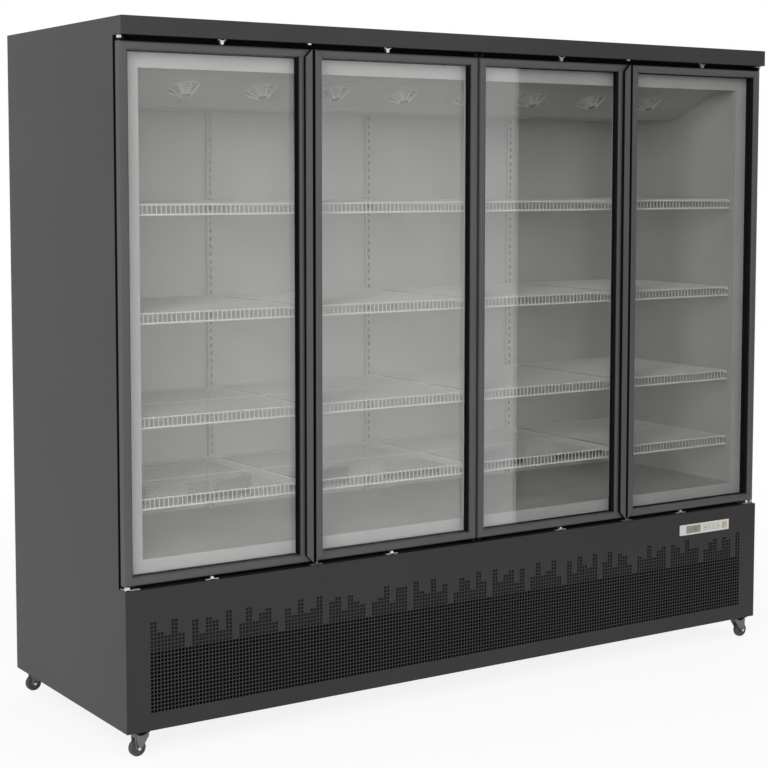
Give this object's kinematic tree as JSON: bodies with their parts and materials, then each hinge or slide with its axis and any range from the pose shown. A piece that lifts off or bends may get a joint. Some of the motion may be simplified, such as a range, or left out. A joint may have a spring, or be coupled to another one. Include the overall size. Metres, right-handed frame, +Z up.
{
  "type": "glass door freezer",
  "caption": "Upright display freezer on castors with a row of hinged glass doors, wire shelves, ceiling fans and a perforated plinth.",
  "frame": {"origin": "middle of the footprint, on the floor under the castors", "axes": "+X along the row of doors to the viewer's right, -Y out of the doors towards the viewer, +Z up"},
  "size_m": [2.48, 0.834, 2.096],
  "materials": {
    "side_paint": "satin",
    "dark_paint": "satin",
    "door_paint": "satin",
    "galvanised_sheet": "satin",
    "foam": "matte",
    "liner_paint": "satin",
    "shelf_coating": "satin",
    "guard_coating": "satin",
    "fan_plastic": "matte",
    "fin_aluminium": "satin",
    "zinc_steel": "satin",
    "wheel_rubber": "matte",
    "door_glass": "gloss",
    "seal_rubber": "matte",
    "compressor_paint": "satin",
    "controller_plastic": "satin",
    "display_plastic": "gloss",
    "button_plastic": "satin"
  },
  "bodies": {
    "cabinet": {"left_side_panel": "side_paint", "right_side_panel": "side_paint", "header_fascia": "dark_paint", "plinth_panel": "dark_paint", "door_sill": "dark_paint", "back_panel": "galvanised_sheet", "roof_panel": "galvanised_sheet", "base_frame": "galvanised_sheet", "insulation": "foam", "inner_liner": "liner_paint", "front_frame": "liner_paint", "air_duct_panel": "liner_paint", "fan_canopy": "liner_paint", "shelf_uprights": "liner_paint", "top_shelves": "shelf_coating", "upper_shelves": "shelf_coating", "lower_shelves": "shelf_coating", "bottom_shelves": "shelf_coating", "shelf_brackets": "shelf_coating", "fan_guards": "guard_coating", "evaporator_coil": "fin_aluminium", "condenser_coil": "fin_aluminium", "hinge_brackets": "zinc_steel", "door_catches": "zinc_steel", "castor_plates": "zinc_steel", "compressor": "compressor_paint", "controller_housing": "controller_plastic", "controller_display": "display_plastic"},
    "door_1": {"door_1_frame": "door_paint", "door_1_glass": "door_glass", "door_1_seals": "seal_rubber"},
    "door_2": {"door_2_frame": "door_paint", "door_2_glass": "door_glass", "door_2_seals": "seal_rubber"},
    "door_3": {"door_3_frame": "door_paint", "door_3_glass": "door_glass", "door_3_seals": "seal_rubber"},
    "door_4": {"door_4_frame": "door_paint", "door_4_glass": "door_glass", "door_4_seals": "seal_rubber"},
    "control_button_1": {"control_button_1": "button_plastic"},
    "control_button_2": {"control_button_2": "button_plastic"},
    "control_button_3": {"control_button_3": "button_plastic"},
    "control_button_4": {"control_button_4": "button_plastic"},
    "castor_fork_front_left": {"castor_fork_front_left": "zinc_steel"},
    "castor_wheel_front_left": {"castor_wheel_front_left": "wheel_rubber"},
    "castor_fork_front_right": {"castor_fork_front_right": "zinc_steel"},
    "castor_wheel_front_right": {"castor_wheel_front_right": "wheel_rubber"},
    "castor_fork_rear_left": {"castor_fork_rear_left": "zinc_steel"},
    "castor_wheel_rear_left": {"castor_wheel_rear_left": "wheel_rubber"},
    "castor_fork_rear_right": {"castor_fork_rear_right": "zinc_steel"},
    "castor_wheel_rear_right": {"castor_wheel_rear_right": "wheel_rubber"},
    "evaporator_fan_1": {"evaporator_fan_1": "fan_plastic"},
    "evaporator_fan_2": {"evaporator_fan_2": "fan_plastic"},
    "evaporator_fan_3": {"evaporator_fan_3": "fan_plastic"},
    "evaporator_fan_4": {"evaporator_fan_4": "fan_plastic"},
    "evaporator_fan_5": {"evaporator_fan_5": "fan_plastic"},
    "evaporator_fan_6": {"evaporator_fan_6": "fan_plastic"},
    "evaporator_fan_7": {"evaporator_fan_7": "fan_plastic"},
    "evaporator_fan_8": {"evaporator_fan_8": "fan_plastic"}
  },
  "joints": [
    {"name": "door_1_hinge", "type": "hinge", "parent": "cabinet", "child": "door_1", "pos_m": [-1.228, -0.392, 1.2645], "axis": [0, 0, -1], "range_deg": [0, 88]},
    {"name": "door_2_hinge", "type": "hinge", "parent": "cabinet", "child": "door_2", "pos_m": [-0.012, -0.392, 1.2645], "axis": [0, 0, 1], "range_deg": [0, 88]},
    {"name": "door_3_hinge", "type": "hinge", "parent": "cabinet", "child": "door_3", "pos_m": [0.012, -0.392, 1.2645], "axis": [0, 0, -1], "range_deg": [0, 88]},
    {"name": "door_4_hinge", "type": "hinge", "parent": "cabinet", "child": "door_4", "pos_m": [1.228, -0.392, 1.2645], "axis": [0, 0, 1], "range_deg": [0, 88]},
    {"name": "control_button_1_press", "type": "slide", "parent": "cabinet", "child": "control_button_1", "axis": [0, 1, 0], "range_m": [0, 0.001], "stiffness_N_per_m": 600},
    {"name": "control_button_2_press", "type": "slide", "parent": "cabinet", "child": "control_button_2", "axis": [0, 1, 0], "range_m": [0, 0.001], "stiffness_N_per_m": 600},
    {"name": "control_button_3_press", "type": "slide", "parent": "cabinet", "child": "control_button_3", "axis": [0, 1, 0], "range_m": [0, 0.001], "stiffness_N_per_m": 600},
    {"name": "control_button_4_press", "type": "slide", "parent": "cabinet", "child": "control_button_4", "axis": [0, 1, 0], "range_m": [0, 0.001], "stiffness_N_per_m": 600},
    {"name": "castor_swivel_front_left", "type": "hinge", "parent": "cabinet", "child": "castor_fork_front_left", "pos_m": [-1.188, -0.382, 0.06], "axis": [0, 0, 1], "continuous": true},
    {"name": "castor_spin_front_left", "type": "hinge", "parent": "castor_fork_front_left", "child": "castor_wheel_front_left", "pos_m": [-1.198, -0.382, 0.025], "axis": [0, 1, 0], "continuous": true},
    {"name": "castor_swivel_front_right", "type": "hinge", "parent": "cabinet", "child": "castor_fork_front_right", "pos_m": [1.188, -0.382, 0.06], "axis": [0, 0, 1], "continuous": true},
    {"name": "castor_spin_front_right", "type": "hinge", "parent": "castor_fork_front_right", "child": "castor_wheel_front_right", "pos_m": [1.198, -0.382, 0.025], "axis": [0, 1, 0], "continuous": true},
    {"name": "castor_swivel_rear_left", "type": "hinge", "parent": "cabinet", "child": "castor_fork_rear_left", "pos_m": [-1.188, 0.386, 0.06], "axis": [0, 0, 1], "continuous": true},
    {"name": "castor_spin_rear_left", "type": "hinge", "parent": "castor_fork_rear_left", "child": "castor_wheel_rear_left", "pos_m": [-1.198, 0.386, 0.025], "axis": [0, 1, 0], "continuous": true},
    {"name": "castor_swivel_rear_right", "type": "hinge", "parent": "cabinet", "child": "castor_fork_rear_right", "pos_m": [1.188, 0.386, 0.06], "axis": [0, 0, 1], "continuous": true},
    {"name": "castor_spin_rear_right", "type": "hinge", "parent": "castor_fork_rear_right", "child": "castor_wheel_rear_right", "pos_m": [1.198, 0.386, 0.025], "axis": [0, 1, 0], "continuous": true},
    {"name": "evaporator_fan_1_spin", "type": "hinge", "parent": "cabinet", "child": "evaporator_fan_1", "pos_m": [-0.917, -0.16, 1.91767], "axis": [0, 0.3693, 0.9293], "continuous": true},
    {"name": "evaporator_fan_2_spin", "type": "hinge", "parent": "cabinet", "child": "evaporator_fan_2", "pos_m": [-0.655, -0.16, 1.91767], "axis": [0, 0.3693, 0.9293], "continuous": true},
    {"name": "evaporator_fan_3_spin", "type": "hinge", "parent": "cabinet", "child": "evaporator_fan_3", "pos_m": [-0.393, -0.16, 1.91767], "axis": [0, 0.3693, 0.9293], "continuous": true},
    {"name": "evaporator_fan_4_spin", "type": "hinge", "parent": "cabinet", "child": "evaporator_fan_4", "pos_m": [-0.131, -0.16, 1.91767], "axis": [0, 0.3693, 0.9293], "continuous": true},
    {"name": "evaporator_fan_5_spin", "type": "hinge", "parent": "cabinet", "child": "evaporator_fan_5", "pos_m": [0.131, -0.16, 1.91767], "axis": [0, 0.3693, 0.9293], "continuous": true},
    {"name": "evaporator_fan_6_spin", "type": "hinge", "parent": "cabinet", "child": "evaporator_fan_6", "pos_m": [0.393, -0.16, 1.91767], "axis": [0, 0.3693, 0.9293], "continuous": true},
    {"name": "evaporator_fan_7_spin", "type": "hinge", "parent": "cabinet", "child": "evaporator_fan_7", "pos_m": [0.655, -0.16, 1.91767], "axis": [0, 0.3693, 0.9293], "continuous": true},
    {"name": "evaporator_fan_8_spin", "type": "hinge", "parent": "cabinet", "child": "evaporator_fan_8", "pos_m": [0.917, -0.16, 1.91767], "axis": [0, 0.3693, 0.9293], "continuous": true}
  ]
}
